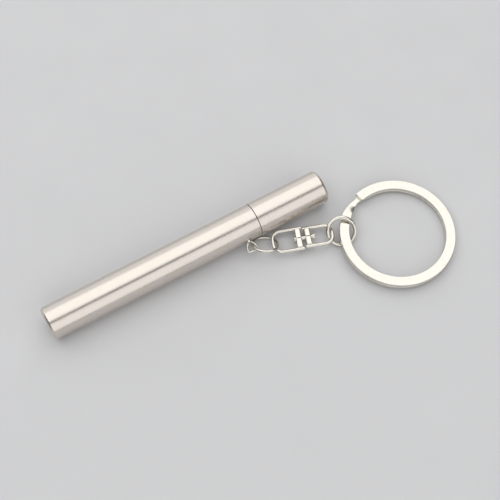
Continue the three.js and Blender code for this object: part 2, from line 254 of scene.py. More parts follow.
def fused(solids, cuts, voxel, smoothing):
    """Overlapping closed shells, less some cuts, made one skin with softly rounded joints."""
    shape = raw_object("raw", joined(*solids))
    cutters = [raw_object("cutter", cut) for cut in cuts]
    for cutter in cutters:
        cut = shape.modifiers.new("cut", "BOOLEAN")
        cut.operation = "DIFFERENCE"
        cut.object = cutter
        cut.use_self = True
    remesh = shape.modifiers.new("skin", "REMESH")
    remesh.mode = "VOXEL"
    remesh.voxel_size = voxel
    smooth = shape.modifiers.new("smooth", "SMOOTH")
    smooth.iterations = smoothing
    bpy.context.view_layer.update()
    skin = shape.evaluated_get(bpy.context.evaluated_depsgraph_get()).data
    result = [v.co.copy() for v in skin.vertices], [tuple(p.vertices) for p in skin.polygons]
    for spent in [shape, *cutters]:
        mesh = spent.data
        bpy.data.objects.remove(spent)
        bpy.data.meshes.remove(mesh)
    return result


def smooth_step(value, start, end):
    t = min(max((value - start) / (end - start), 0), 1)
    return t * t * (3 - 2 * t)


# ---------- materials ----------


class Nodes:
    """A material's node tree with short ways to add to it."""

    def __init__(self, name):
        self.material = bpy.data.materials.new(name)
        self.material.use_nodes = True
        self.tree = self.material.node_tree
        self.shader = self.tree.nodes["Principled BSDF"]

    def add(self, kind, **values):
        node = self.tree.nodes.new(kind)
        for key, value in values.items():
            if hasattr(node, key):
                setattr(node, key, value)
            else:
                node.inputs[key.replace("_", " ").title()].default_value = value
        return node

    def link(self, output, target):
        self.tree.links.new(output, target)

    def set(self, **values):
        for key, value in values.items():
            self.shader.inputs[key.replace("_", " ").title()].default_value = value

    def coordinates(self, scale):
        """Object coordinates in mm, stretched by a scale on each axis."""
        source = self.add("ShaderNodeTexCoord")
        mapping = self.add("ShaderNodeMapping")
        mapping.inputs["Scale"].default_value = [s / MM for s in scale]
        self.link(source.outputs["Object"], mapping.inputs["Vector"])
        return mapping.outputs["Vector"]

    def noise(self, scale, detail=3.0, rough=0.55):
        texture = self.add("ShaderNodeTexNoise")
        texture.inputs["Scale"].default_value = 1.0
        texture.inputs["Detail"].default_value = detail
        texture.inputs["Roughness"].default_value = rough
        self.link(self.coordinates(scale), texture.inputs["Vector"])
        return texture.outputs["Fac"]

    def spread(self, value, low, high, start=0.3, end=0.7):
        """A value mapped from start..end to low..high."""
        spread = self.add("ShaderNodeMapRange")
        spread.inputs["From Min"].default_value = start
        spread.inputs["From Max"].default_value = end
        spread.inputs["To Min"].default_value = low
        spread.inputs["To Max"].default_value = high
        self.link(value, spread.inputs["Value"])
        return spread.outputs["Result"]

    def colours(self, value, first, second):
        """A blend of two colours by a value from 0 to 1."""
        mix = self.add("ShaderNodeMix", data_type="RGBA")
        colour_inputs = [socket for socket in mix.inputs if socket.type == "RGBA"]
        colour_inputs[0].default_value = (*first, 1)
        colour_inputs[1].default_value = (*second, 1)
        self.link(value, mix.inputs[0])
        return next(socket for socket in mix.outputs if socket.type == "RGBA")

    def bump(self, height, strength, distance):
        bump = self.add("ShaderNodeBump")
        bump.inputs["Strength"].default_value = strength
        bump.inputs["Distance"].default_value = distance * MM
        self.link(height, bump.inputs["Height"])
        return bump.outputs["Normal"]

    def paint(self, colour=None, rough=None, normal=None):
        """Links what varies over the surface to the shader."""
        if colour:
            self.link(colour, self.shader.inputs["Base Color"])
        if rough:
            self.link(rough, self.shader.inputs["Roughness"])
        if normal:
            self.link(normal, self.shader.inputs["Normal"])
        return self.material


def tube_steel():
    """Satin steel with fine rings of grain round the tube, a little uneven in its polish."""
    m = Nodes("tube_steel")
    m.set(metallic=1.0)
    grain = m.noise((16.0, 0.3, 0.3), 4.0, 0.7)
    clouds = m.noise((0.12, 0.3, 0.3), 2.0)
    colour = m.colours(m.spread(grain, 0, 1), (0.672, 0.615, 0.56), (0.722, 0.665, 0.61))
    return m.paint(colour, m.spread(clouds, 0.24, 0.28), m.bump(grain, 0.35, 0.003))


def plated(name, first, second, low, high, ripple=0.25):
    """Polished plate with the faint ripple and handling haze of small bent parts."""
    m = Nodes(name)
    m.set(metallic=1.0)
    haze = m.noise((1.1, 1.1, 1.1), 5.0, 0.6)
    ripples = m.noise((0.7, 0.7, 0.7), 2.0)
    colour = m.colours(m.spread(haze, 0, 1), first, second)
    return m.paint(colour, m.spread(haze, low, high), m.bump(ripples, ripple, 0.02))


def turned_metal(name, first, second, low, high):
    """A machined metal with tool marks round the tube's axis."""
    m = Nodes(name)
    m.set(metallic=1.0)
    marks = m.noise((9.0, 0.4, 0.4), 3.0)
    stain = m.noise((0.6, 0.6, 0.6), 4.0)
    colour = m.colours(m.spread(stain, 0, 1), first, second)
    return m.paint(colour, m.spread(marks, low, high), m.bump(marks, 0.4, 0.006))


def seal_rubber():
    m = Nodes("seal_rubber")
    speck = m.noise((6.0, 6.0, 6.0), 4.0)
    colour = m.colours(m.spread(speck, 0, 1), (0.012, 0.012, 0.012), (0.035, 0.034, 0.033))
    return m.paint(colour, m.spread(speck, 0.35, 0.6), m.bump(speck, 0.3, 0.01))


COPPER_SHARE = 0.24  # of the cell's jacket, next to its plus pole


def cell_jacket():
    """Shrink film: dark blue, with a copper-coloured end next to the plus pole."""
    m = Nodes("cell_jacket")
    start, end, _ = reach_of("cell_jacket")
    source = m.add("ShaderNodeTexCoord")
    split = m.add("ShaderNodeSeparateXYZ")
    m.link(source.outputs["Object"], split.inputs["Vector"])
    edge = (end - COPPER_SHARE * (end - start)) * MM
    band = m.spread(split.outputs["X"], 0, 1, edge, edge + 0.05 * MM)
    grain = m.noise((2.0, 2.0, 2.0), 3.0)
    colour = m.colours(band, (0.015, 0.03, 0.075), (0.55, 0.27, 0.11))
    m.set(coat_weight=0.4)
    return m.paint(colour, m.spread(grain, 0.24, 0.34), m.bump(grain, 0.08, 0.01))


def circuit_board():
    m = Nodes("circuit_board")
    weave = m.noise((3.0, 3.0, 3.0), 3.0)
    colour = m.colours(m.spread(weave, 0, 1), (0.01, 0.10, 0.035), (0.02, 0.19, 0.07))
    m.set(coat_weight=0.5)
    return m.paint(colour, m.spread(weave, 0.3, 0.42), m.bump(weave, 0.15, 0.01))


def chip_black():
    m = Nodes("chip_black")
    grit = m.noise((9.0, 9.0, 9.0), 4.0)
    colour = m.colours(m.spread(grit, 0, 1), (0.012, 0.012, 0.013), (0.04, 0.04, 0.042))
    return m.paint(colour, m.spread(grit, 0.45, 0.6), m.bump(grit, 0.25, 0.01))


EMITTER_TILE = 1.6  # width of the LED's phosphor tile, in mm


def led_phosphor():
    """White ceramic, with yellow phosphor where the tile is."""
    m = Nodes("led_phosphor")
    middle = centre_of("led_emitter")
    source = m.add("ShaderNodeTexCoord")
    split = m.add("ShaderNodeSeparateXYZ")
    m.link(source.outputs["Object"], split.inputs["Vector"])
    sides = []
    for axis, centre in (("Y", middle.y), ("Z", middle.z)):
        offset = m.add("ShaderNodeMath", operation="SUBTRACT")
        m.link(split.outputs[axis], offset.inputs[0])
        offset.inputs[1].default_value = centre
        size = m.add("ShaderNodeMath", operation="ABSOLUTE")
        m.link(offset.outputs[0], size.inputs[0])
        sides.append(size)
    widest = m.add("ShaderNodeMath", operation="MAXIMUM")
    for index, size in enumerate(sides):
        m.link(size.outputs[0], widest.inputs[index])
    edge = EMITTER_TILE / 2 * MM
    outside = m.spread(widest.outputs[0], 0, 1, edge, edge + 0.02 * MM)
    grit = m.noise((12.0, 12.0, 12.0), 4.0)
    phosphor = m.colours(m.spread(grit, 0, 1), (0.82, 0.62, 0.08), (0.92, 0.78, 0.22))
    both = m.add("ShaderNodeMix", data_type="RGBA")
    m.link(outside, both.inputs[0])
    colour_inputs = [socket for socket in both.inputs if socket.type == "RGBA"]
    m.link(phosphor, colour_inputs[0])
    colour_inputs[1].default_value = (0.8, 0.79, 0.76, 1)
    colour = next(socket for socket in both.outputs if socket.type == "RGBA")
    return m.paint(colour, m.spread(grit, 0.45, 0.6), m.bump(grit, 0.2, 0.01))


def clear(name, tint, rough, ior):
    """Clear glass or silicone with the faintest unevenness in its polish."""
    m = Nodes(name)
    m.set(transmission_weight=1.0)
    m.shader.inputs["IOR"].default_value = ior
    waves = m.noise((0.8, 0.8, 0.8), 1.0)
    colour = m.colours(m.spread(waves, 0, 1), tint, (1.0, 1.0, 1.0))
    return m.paint(colour, m.spread(waves, rough, rough + 0.02), m.bump(waves, 0.05, 0.01))


def reflector_mirror():
    m = Nodes("reflector_mirror")
    m.set(metallic=1.0)
    haze = m.noise((1.5, 1.5, 1.5), 3.0)
    colour = m.colours(m.spread(haze, 0, 1), (0.86, 0.87, 0.88), (0.93, 0.93, 0.93))
    return m.paint(colour, m.spread(haze, 0.04, 0.09), m.bump(haze, 0.05, 0.01))


MATERIALS = {
    "tube_steel": tube_steel(),
    "chain_nickel": plated("chain_nickel", (0.68, 0.65, 0.585), (0.745, 0.72, 0.655), 0.09, 0.18),
    "contact_brass": turned_metal("contact_brass", (0.62, 0.45, 0.18), (0.74, 0.57, 0.27), 0.2, 0.34),
    "neck_brass": turned_metal("neck_brass", (0.60, 0.44, 0.19), (0.72, 0.56, 0.28), 0.22, 0.36),
    "spring_steel": plated("spring_steel", (0.56, 0.56, 0.55), (0.68, 0.68, 0.67), 0.2, 0.3),
    "cell_steel": plated("cell_steel", (0.66, 0.66, 0.65), (0.76, 0.76, 0.75), 0.14, 0.26),
    "cell_jacket": cell_jacket(),
    "seal_rubber": seal_rubber(),
    "circuit_board": circuit_board(),
    "chip_black": chip_black(),
    "sink_aluminium": turned_metal("sink_aluminium", (0.66, 0.67, 0.68), (0.76, 0.77, 0.78), 0.26, 0.4),
    "led_phosphor": led_phosphor(),
    "clear_dome": clear("clear_dome", (0.96, 0.96, 0.94), 0.02, 1.41),
    "reflector_mirror": reflector_mirror(),
    "lens_glass": clear("lens_glass", (0.97, 0.99, 1.0), 0.0, 1.5),
}


# ---------- tube ----------

END_ROUND = 1.1
BORE = 4.25
TAIL_WALL = 1.0
FLOOR_BEVEL = 0.3  # where the bore meets the tail wall
SEAM_EDGE = 0.08
HEAD_BORE = 4.3
HEAD_LIP = 3.2
HEAD_LIP_ROUND = 0.2
LIP_LENGTH = 0.8
COLLAR = 3.75
COLLAR_LENGTH = 1.2


def barrel():
    outer = BARREL_RADIUS
    floor = TAIL + TAIL_WALL
    outline = [
        (TAIL, 0),
        (TAIL, (outer - END_ROUND) / 2),
        *corner(TAIL + END_ROUND, outer - END_ROUND, END_ROUND, 180, 90, 14),
        *corner(SEAM - SEAM_EDGE, outer - SEAM_EDGE, SEAM_EDGE, 90, 0, 4),
        *corner(SEAM - SEAM_EDGE, BORE + SEAM_EDGE, SEAM_EDGE, 0, -90, 4),
        (floor + FLOOR_BEVEL, BORE),
        (floor, BORE - FLOOR_BEVEL),
        (floor, 0),
    ]
    add_piece("barrel_shell", turned(outline, FINE_ROUND), TUBE_FRAME, "barrel", sharp=40)


def head_shell():
    outer, start, end = HEAD_RADIUS, HEAD_START, HEAD_END
    outline = [
        (start, COLLAR),
        *corner(start + SEAM_EDGE, outer - SEAM_EDGE, SEAM_EDGE, 180, 90, 4),
        *corner(end - END_ROUND, outer - END_ROUND, END_ROUND, 90, 0, 14),
        *corner(end - HEAD_LIP_ROUND, HEAD_LIP + HEAD_LIP_ROUND, HEAD_LIP_ROUND, 0, -90, 5),
        (end - LIP_LENGTH, HEAD_LIP),
        (end - LIP_LENGTH, HEAD_BORE),
        (start + COLLAR_LENGTH, HEAD_BORE),
        (start + COLLAR_LENGTH, COLLAR),
    ]
    add_piece("head_tube", turned(outline, FINE_ROUND), TUBE_FRAME, "head_shell", sharp=40)


# ---------- the wire eye on the barrel ----------

EYE_WIRE = 0.26
EYE_STEM = 0.5
EYE_ROOT = 4.95  # from the tube's axis
EYE_STEM_ANGLE = 5  # of its stem, below the horizontal on the chain side
EYE_HALF_WIDTH = 1.35
EYE_VOXEL = 0.045


def smooth_loop(points, steps=12):
    """A closed Catmull-Rom curve through points."""
    spots = [Vector(p) for p in points]
    count = len(spots)
    path = []
    for i in range(count):
        a, b, c, d = (spots[(i + k) % count] for k in (-1, 0, 1, 2))
        for step in range(steps):
            t = step / steps
            path.append(
                b + (c - a) * t / 2
                + (a * 2 - b * 5 + c * 4 - d) * t**2 / 2
                + (b * 3 - a - c * 3 + d) * t**3 / 2
            )
    return path


def barrel_eye():
    """A teardrop loop of wire hanging from a short stem in the barrel's side."""
    low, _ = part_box("barrel_eye")
    angle = math.radians(EYE_STEM_ANGLE)
    stem_way = Vector((0, -math.cos(angle), -math.sin(angle)))
    root = Vector((centre_of("barrel_eye").x, AXIS.y, AXIS.z)) + stem_way * EYE_ROOT * MM
    tip = Vector((root.x, low.y + EYE_WIRE * MM, low.z + EYE_WIRE * MM))
    way = (tip - root).normalized()
    reach = (tip - root).length / MM
    x_axis = Vector((1, 0, 0))
    matrix = frame_of(root, x_axis, way, x_axis.cross(way))
    near_stem = [(0.3, -0.1), (0.75, 0.5), (1.2, 1.15)]
    far_end = [(EYE_HALF_WIDTH, reach - 0.5), (1.05, reach - 0.14), (0.45, reach)]
    side = near_stem + far_end
    points = [(x, y, 0) for x, y in side] + [(-x, y, 0) for x, y in reversed(side)]
    loop = swept(smooth_loop(points), EYE_WIRE, 16, closed=True)
    stem_line = (matrix.inverted().to_3x3() @ stem_way).normalized()
    stem = swept([stem_line * -0.55, stem_line * 0.15, stem_line * 0.25], EYE_STEM, 24)
    add_piece("barrel_eye_wire", fused([loop, stem], [], EYE_VOXEL, 3), matrix, "barrel_eye", sharp=180)


# ---------- inside the barrel ----------


DEAD_TURNS = 0.6  # of a spring, at each end, that climb less than the rest
DEAD_CLIMB = 0.7  # of an even coil's climb


def coil_path(start, end, first, last, turns):
    """A conical coil along X whose end turns lie flatter, as a list of points."""
    steps = int(turns * 40)
    path = []
    for i in range(steps + 1):
        t = i / steps
        turn = turns * t
        climb = min(max((turn - DEAD_TURNS) / (turns - 2 * DEAD_TURNS), 0), 1)
        dead = min(turn, DEAD_TURNS) + max(turn - turns + DEAD_TURNS, 0)
        share = climb * (1 - 2 * DEAD_CLIMB * DEAD_TURNS / turns) + DEAD_CLIMB * dead / turns
        radius = first + (last - first) * t
        angle = TURN * turn
        path.append((start + (end - start) * share, radius * math.cos(angle), radius * math.sin(angle)))
    return path


def spring(name, node, wire, turns, narrow_ratio, widens):
    low, high, reach = reach_of(node)
    wide = reach - wire
    narrow = wide * narrow_ratio
    first, last = (narrow, wide) if widens else (wide, narrow)
    path = coil_path(low + wire, high - wire, first, last, turns)
    add_piece(name, swept(path, wire, 14), TUBE_FRAME, node)


def spring_plate():
    """A pressed disc with a shallow dish in its middle."""
    start, end, radius = reach_of("spring_plate")
    edge = 0.08
    dish = end - 0.12
    outline = [
        (start, 0),
        *corner(start + edge, radius - edge, edge, 180, 90, 4),
        *corner(end - edge, radius - edge, edge, 90, 0, 4),
        (end, 1.7),
        (dish, 1.5),
        (dish, 0.4),
        (dish, 0),
    ]
    add_piece("spring_plate_disc", turned(outline), TUBE_FRAME, "spring_plate")


def cell_can():
    """The steel can: a flat minus end, and a crimp in under the cap."""
    start, end, radius = reach_of("cell_can")
    minus = start + 0.12
    minus_edge, plus_edge = 0.35, 0.3
    crimp = end - 1.25
    crimp_floor = radius - 0.12
    outline = [
        (minus, 0),
        (minus, 1.6),
        (start, 1.9),
        *corner(start + minus_edge, radius - minus_edge, minus_edge, 180, 90, 6),
        (crimp - 0.35, radius),
        (crimp - 0.15, crimp_floor),
        (crimp + 0.15, crimp_floor),
        (crimp + 0.35, radius),
        *corner(end - plus_edge, radius - plus_edge, plus_edge, 90, 0, 6),
        (end, 2.9),
        (end, 0),
    ]
    add_piece("cell_can_shell", turned(outline), TUBE_FRAME, "cell_can")


def cell_jacket():
    """The shrink film, which curls in a little at both ends and shows its long overlap."""
    start, end, radius = reach_of("cell_jacket")
    inner = radius - 0.2
    curl = 0.12
    outline = [
        (start, inner),
        *corner(start + curl, radius - curl, curl, 180, 90, 4),
        *corner(end - curl, radius - curl, curl, 90, 0, 4),
        (end, inner),
    ]
    vertices, faces = turned(outline, FINE_ROUND)
    step, middle, half = 0.02, 1, 0.3
    raised = []
    for along, y, z in vertices:
        from_middle = abs(math.atan2(z, y) - middle)
        shrink = 1 - step / radius * (1 - smooth_step(from_middle, half, half + 0.02))
        raised.append((along, y * shrink, z * shrink))
    add_piece("cell_jacket_film", (raised, faces), TUBE_FRAME, "cell_jacket")


def cell_cap():
    """The plus end: a button with a shallow dimple, on a flat flange."""
    start, end, base = reach_of("cell_cap")
    plus = 1.9
    step = start + 0.3
    edge, foot, crown = 0.08, 0.15, 0.2
    dimple = end - 0.04
    outline = [
        (start, 0),
        *corner(start + edge, base - edge, edge, 180, 90, 3),
        *corner(step - edge, base - edge, edge, 90, 0, 3),
        *corner(step + foot, plus + foot, foot, 180, 270, 4),
        *corner(end - crown, plus - crown, crown, 90, 0, 5),
        (end, 0.9),
        (dimple, 0.8),
        (dimple, 0),
    ]
    add_piece("cell_cap_button", turned(outline), TUBE_FRAME, "cell_cap")


# ---------- the neck that joins head and barrel ----------

NECK_BORE = 2.9
NECK_WAIST = 3.65
GROOVE = 1.1
GROOVE_DEPTH = 0.7
GROOVE_EDGE = 0.06
THREAD_PITCH = 0.42
THREAD_DEPTH = 0.13
THREAD_FADE = 0.3  # over which the thread runs out at each end
NECK_CHAMFER = 0.2  # at the tail end
HEAD_CHAMFER = 0.15


def groove_of(node):
    """The along and radius points of the groove round a seal, with softened edges."""
    low, high, _ = reach_of(node)
    middle = (low + high) / 2
    start, end = middle - GROOVE / 2, middle + GROOVE / 2
    _, _, radius = reach_of("neck_bush")
    floor = radius - GROOVE_DEPTH
    return [
        *corner(start - GROOVE_EDGE, radius - GROOVE_EDGE, GROOVE_EDGE, 90, 0, 2),
        (start, floor),
        (end, floor),
        *corner(end + GROOVE_EDGE, radius - GROOVE_EDGE, GROOVE_EDGE, 180, 90, 2),
    ]


def neck_bush():
    """A brass bush with a seal groove on each side of its waist and a thread at its tail end."""
    start, end, radius = reach_of("neck_bush")
    barrel_groove = groove_of("barrel_seal")
    head_groove = groove_of("head_seal")
    waist_end = HEAD_START + COLLAR_LENGTH + 0.2
    thread_start, thread_end = start + 0.35, barrel_groove[0][0] - 0.25
    rows = round((thread_end - thread_start) / THREAD_PITCH * 8)
    thread = [thread_start + (thread_end - thread_start) * i / rows for i in range(rows + 1)]
    outline = [
        (start, NECK_BORE),
        (start, radius - NECK_CHAMFER),
        (start + NECK_CHAMFER, radius),
        *[(along, radius) for along in thread],
        *barrel_groove,
        (SEAM - 0.3, radius),
        (SEAM - 0.25, NECK_WAIST),
        (waist_end, NECK_WAIST),
        (waist_end, radius),
        *head_groove,
        (end - HEAD_CHAMFER, radius),
        (end, radius - HEAD_CHAMFER),
        (end, NECK_BORE),
    ]
    vertices, faces = turned(outline, ROUND)
    cut = []
    for along, y, z in vertices:
        size = math.hypot(y, z)
        if size > radius - 0.01 and thread_start < along < thread_end:
            turns = (along - thread_start) / THREAD_PITCH - math.atan2(z, y) / TURN
            ridge = abs(turns % 1 - 0.5) * 2
            fade = smooth_step(along, thread_start, thread_start + THREAD_FADE)
            fade *= 1 - smooth_step(along, thread_end - THREAD_FADE, thread_end)
            shrink = 1 - THREAD_DEPTH * ridge * fade / size
            y, z = y * shrink, z * shrink
        cut.append((along, y, z))
    add_piece("neck_bush_turned", (cut, faces), TUBE_FRAME, "neck_bush", sharp=25)


def seal(name, node):
    """A rubber ring with its fine moulding line."""
    low, high, reach = reach_of(node)
    middle, size = (low + high) / 2, (high - low) / 2
    steps = 28
    outline = []
    for i in range(steps):
        angle = TURN * i / steps
        line = 0.02 if i in (0, steps // 2) else 0
        outline.append((middle + size * math.cos(angle), reach - size + (size - line) * math.sin(angle)))
    add_piece(name, turned(list(reversed(outline))), TUBE_FRAME, node, sharp=60)


# ---------- inside the head ----------


def ringed(mesh_data, angles, radius):
    """Copies of a mesh set round the tube's axis at angles in degrees."""
    vertices, faces = mesh_data
    copies = []
    for degrees in angles:
        turn = Matrix.Rotation(math.radians(degrees), 3, "X")
        copies.append(([turn @ (Vector(v) + Vector((0, radius, 0))) for v in vertices], faces))
    return copies


def driver_board():
    """The driver's board, with a contact land on its tail side and small parts on the other."""
    start, end, radius = reach_of("driver_board")
    land = start + 0.1
    face = start + 0.04
    high = 0.3
    back = end - high
    edge = 0.08
    rim = [
        (land, 0),
        (land, 1.75),
        (face, 1.8),
        (face, radius - 0.3),
        *corner(start + 0.15, radius - edge, edge, 180, 90, 3),
        *corner(back - 0.05, radius - edge, edge, 90, 0, 3),
        (back, 0),
    ]
    small_part = moved(soft_box((high, 0.5, 0.85)), (end - high / 2, 0, 0))
    small_parts = ringed(small_part, (60, 118, 240, 300), 1.75)
    add_piece("driver_board_disc", joined(turned(rim), *small_parts), TUBE_FRAME, "driver_board")


def inductor():
    """A drum core with its turns showing between its flanges."""
    low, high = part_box("inductor")
    middle = (low + high) / 2
    start, end = low.x / MM, high.x / MM
    radius = (high.z - low.z) / 2 / MM
    flange, edge = 0.32, 0.05
    wire, count, inset = 0.065, 7, 0.35
    turns = []
    for i in range(count):
        along = start + inset + (end - start - 2 * inset) * (i + 0.5) / count
        turns += corner(along, radius - 0.17, wire, 180, 0, 4)
    outline = [
        *soft_disc(start, start + flange, radius, edge)[:-1],
        *turns,
        *soft_disc(end - flange, end, radius, edge)[1:],
    ]
    matrix = in_mm(Matrix.Translation((0, middle.y, middle.z)))
    add_piece("inductor_drum", turned(outline, 64), matrix, "inductor")


def converter_chip():
    """A chip with three legs on each side."""
    low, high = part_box("converter_chip")
    middle = (low + high) / 2 / MM
    size = (high - low) / MM
    lift, leg_length = 0.12, 0.32
    body = moved(soft_box((size.x - lift, size.y - 0.5, size.z), 0.05), (lift / 2, 0, 0))
    leg = soft_box((0.16, leg_length, 0.2), 0.03)
    legs = []
    for side in (-1, 1):
        for row in (-1, 0, 1):
            across = side * (size.y - leg_length) / 2
            legs.append(moved(leg, (-size.x / 2 + 0.1, across, row * size.z * 0.3)))
    matrix = in_mm(Matrix.Translation(middle * MM))
    add_piece("converter_chip_body", joined(body, *legs), matrix, "converter_chip")


def heat_sink():
    """A turned disc under the LED board, on a skirt that holds the driver board."""
    skirt, end, radius = reach_of("heat_sink")
    start = end - 2.6
    skirt_inner, skirt_outer = 2.3, 2.7
    wire_hole = 1.2
    edge, chamfer = 0.06, 0.3
    grooves = [p for i in range(4) for p in fin_groove(start + 0.65 + 0.5 * i, radius)]
    outline = [
        (skirt, skirt_inner),
        *corner(skirt + edge, skirt_outer - edge, edge, 180, 90, 3),
        (start, skirt_outer),
        (start, radius - chamfer),
        (start + chamfer, radius),
        *grooves,
        *corner(end - edge, radius - edge, edge, 90, 0, 3),
        (end, wire_hole),
        (start, wire_hole),
        (start, skirt_inner),
    ]
    add_piece("heat_sink_turned", turned(outline), TUBE_FRAME, "heat_sink")


def fin_groove(along, radius):
    """A fine groove of the kind a threading tool leaves."""
    return [(along - 0.12, radius), (along, radius - 0.14), (along + 0.12, radius)]


def led_board():
    """The LED's round board, with two soldered wire ends."""
    start, end, radius = reach_of("led_board")
    face = end - 0.14
    pads = ringed(moved(solder_blob(), (face, 0, 0)), (90, 270), 2.75)
    disc = turned(soft_disc(start, face, radius, 0.1))
    add_piece("led_board_disc", joined(disc, *pads), TUBE_FRAME, "led_board")


def solder_blob():
    return turned([(-0.02, 0), (-0.02, 0.42), (0.06, 0.36), (0.11, 0.22), (0.13, 0)], 24)


def led_emitter():
    """The LED's ceramic base and the phosphor tile on it."""
    low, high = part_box("led_emitter")
    middle = (low + high) / 2
    size = (high - low) / MM
    above, thick = 0.2, 0.24
    base = moved(soft_box((size.x - above, size.y, size.z)), (-above / 2, 0, 0))
    tile = moved(soft_box((thick, EMITTER_TILE, EMITTER_TILE), 0.03), ((size.x - thick) / 2, 0, 0))
    add_piece("led_emitter_package", joined(base, tile), in_mm(Matrix.Translation(middle)), "led_emitter")


def led_dome():
    start, end, radius = reach_of("led_dome")
    chamfer = 0.04
    foot = [(start, 0), (start, radius - chamfer), (start + chamfer, radius)]
    outline = foot + corner(end - radius, 0, radius, 90, 0, 24)
    outline[-1] = (end, 0)
    add_piece("led_dome_lens", turned(outline, 64), TUBE_FRAME, "led_dome", sharp=50)


def reflector():
    """A deep bowl, mirror-plated inside, with a rim that seats against the lens."""
    start, end, outer = reach_of("reflector")
    throat, mouth = 1.9, 3.7
    steps = 24
    rim, edge = end - 1.0, 0.08
    bowl = []
    for i in range(steps + 1):
        t = 1 - i / steps
        bowl.append((start + (end - start) * t * t, throat + (mouth - throat) * t))
    outline = [
        (start, throat + 0.4),
        (start + 2.4, throat + 1.4),
        (rim, outer - 0.15),
        *corner(rim + edge, outer - edge, edge, 180, 90, 3),
        *corner(end - edge, outer - edge, edge, 90, 0, 3),
        *bowl,
    ]
    add_piece("reflector_bowl", turned(outline), TUBE_FRAME, "reflector")


def lens():
    """A plano-convex window whose crown stands just inside the head's front."""
    start, end, radius = reach_of("lens")
    bulge, clear_radius, edge = 0.35, 3.1, 0.12
    seat = end - bulge
    steps = 12
    radii = [clear_radius * (1 - i / steps) for i in range(steps + 1)]
    crown = [(seat + bulge * (1 - (r / clear_radius) ** 2), r) for r in radii]
    outline = [
        (start, 0),
        *corner(start + edge, radius - edge, edge, 180, 90, 4),
        *corner(seat - edge, radius - edge, edge, 90, 0, 4),
        *crown,
    ]
    outline[-1] = (end, 0)
    add_piece("lens_window", turned(outline), TUBE_FRAME, "lens", sharp=50)


# ---------- chain ----------

SPLIT_BAND = 2.67
SPLIT_LAYER = 1.0
SPLIT_GAP = 0.1
SPLIT_EDGE = 0.16
LOWER_END = 168  # degrees round the ring, from the side away from the chain
RAMP_START = 139 + 360
RAMP_END = 163 + 360
UPPER_END = 134 + 720
SQUEEZE = 12  # degrees before the ramp, over which the band narrows
RAMP_BAND = 1.3  # the band's width at the foot of the ramp
SMALL_WIRE = 0.37  # radius of the small jump ring's wire
LARGE_WIRE = 0.53
RING_CUT = 0.12  # gap between a jump ring's ends
YOKE_ROD = 0.5
YOKE_STEP = 0.5  # between the points along a yoke's arms
YOKE_CORNER = 2.3
BEND_STEPS = 12
YOKE_VOXEL = 0.06
BAR_GAP = 0.8
BAR_DEPTH = 1.8
BAR_HEIGHT = 1.76
BAR_SQUARENESS = 3.6  # 2 would be an oval section, and much more a sharp box
BAR_SLIT = 0.16
BAR_BEVEL = 0.15  # at a bar's ends
RIVET_HOLE = 0.72
RIVET_SHANK = 0.6
RIVET_FLAT = 0.3  # thickness of its flat head
RIVET_KNOB = 0.8  # and of its knob
RIVET_COLLAR = 0.42  # from the end of the knob to the step round it
RIVET_CROWN = 0.24  # round of the knob's end
CUT_REACH = 2  # of the drill, each way from the bar's middle
SLIT_SIZE = 3  # of the slit's cut, which passes right through the bar
SPLIT_HEADING = -29.2  # the side of the ring away from the chain, from +X, in degrees


def bar_section(width, height, edge, steps=5):
    """Points round a bar's section, across and up, with rounded edges."""
    section = []
    for cx, cy, start in ((1, 1, 0), (-1, 1, 90), (-1, -1, 180), (1, -1, 270)):
        for i in range(steps + 1):
            angle = math.radians(start + 90 * i / steps)
            across = cx * (width / 2 - edge) + edge * math.cos(angle)
            up = cy * (height / 2 - edge) + edge * math.sin(angle)
            section.append((across, up))
    return section


def split_ring():
    """A flat bar wound twice round, with a short ramp from its lower to its upper layer."""
    joint = JOINTS["split_ring_turn"]
    matrix = lying(Vector(joint["pos_m"]), Vector(joint["axis"]).normalized())
    matrix = matrix @ Matrix.Rotation(math.radians(SPLIT_HEADING), 4, "Z")
    inside = matrix.inverted()
    outer = max((inside @ Vector(p)).to_2d().length for p in points_of("split_ring"))
    middle = outer - SPLIT_BAND / 2
    rise = (SPLIT_LAYER + SPLIT_GAP) / 2
    section = bar_section(SPLIT_BAND, SPLIT_LAYER, SPLIT_EDGE)
    steps = 560
    vertices = []
    for i in range(steps + 1):
        degrees = LOWER_END + (UPPER_END - LOWER_END) * i / steps
        angle = math.radians(degrees)
        climb = smooth_step(degrees, RAMP_START, RAMP_END)
        widening = min(max((degrees - RAMP_START) / (RAMP_END - RAMP_START), 0), 1)
        squeeze = smooth_step(degrees, RAMP_START - SQUEEZE, RAMP_START) * (1 - widening) ** 1.5
        width = 1 + (RAMP_BAND / SPLIT_BAND - 1) * squeeze
        for across, up in section:
            reach = middle + across * width
            vertices.append((reach * math.cos(angle), reach * math.sin(angle), up + rise * (2 * climb - 1)))
    faces = [tuple(reversed(face)) for face in capped(steps + 1, len(section))]
    add_piece("split_ring_bar", (vertices, faces), matrix, "split_ring", sharp=40)


def jump_ring(node, name, wire, cut_degrees):
    """A bent wire ring whose cut ends nearly meet."""
    points = points_of(node)
    matrix = lying(Vector(points.mean(axis=0)), flat_normal(points))
    inside = matrix.inverted()
    outer = max((inside @ Vector(p)).to_2d().length for p in points)
    radius = outer - wire
    sweep = TURN - RING_CUT / radius
    steps = 120
    path = []
    for i in range(steps + 1):
        angle = math.radians(cut_degrees) + sweep * i / steps
        path.append((radius * math.cos(angle), radius * math.sin(angle), 0))
    add_piece(name, swept(path, wire), matrix, node)


def yoke_frame(node):
    """A yoke's frame: X from the swivel's middle toward its closed end, Z square to its plane."""
    joint = JOINTS["swivel_turn"]
    middle = Vector(joint["pos_m"])
    along = Vector(joint["axis"]).normalized()
    points = points_of(node)
    if (Vector(points.mean(axis=0)) - middle).dot(along) < 0:
        along = -along
    up = flat_normal(points)
    up = (up - along * up.dot(along)).normalized()
    return frame_of(middle, along, up.cross(along), up)


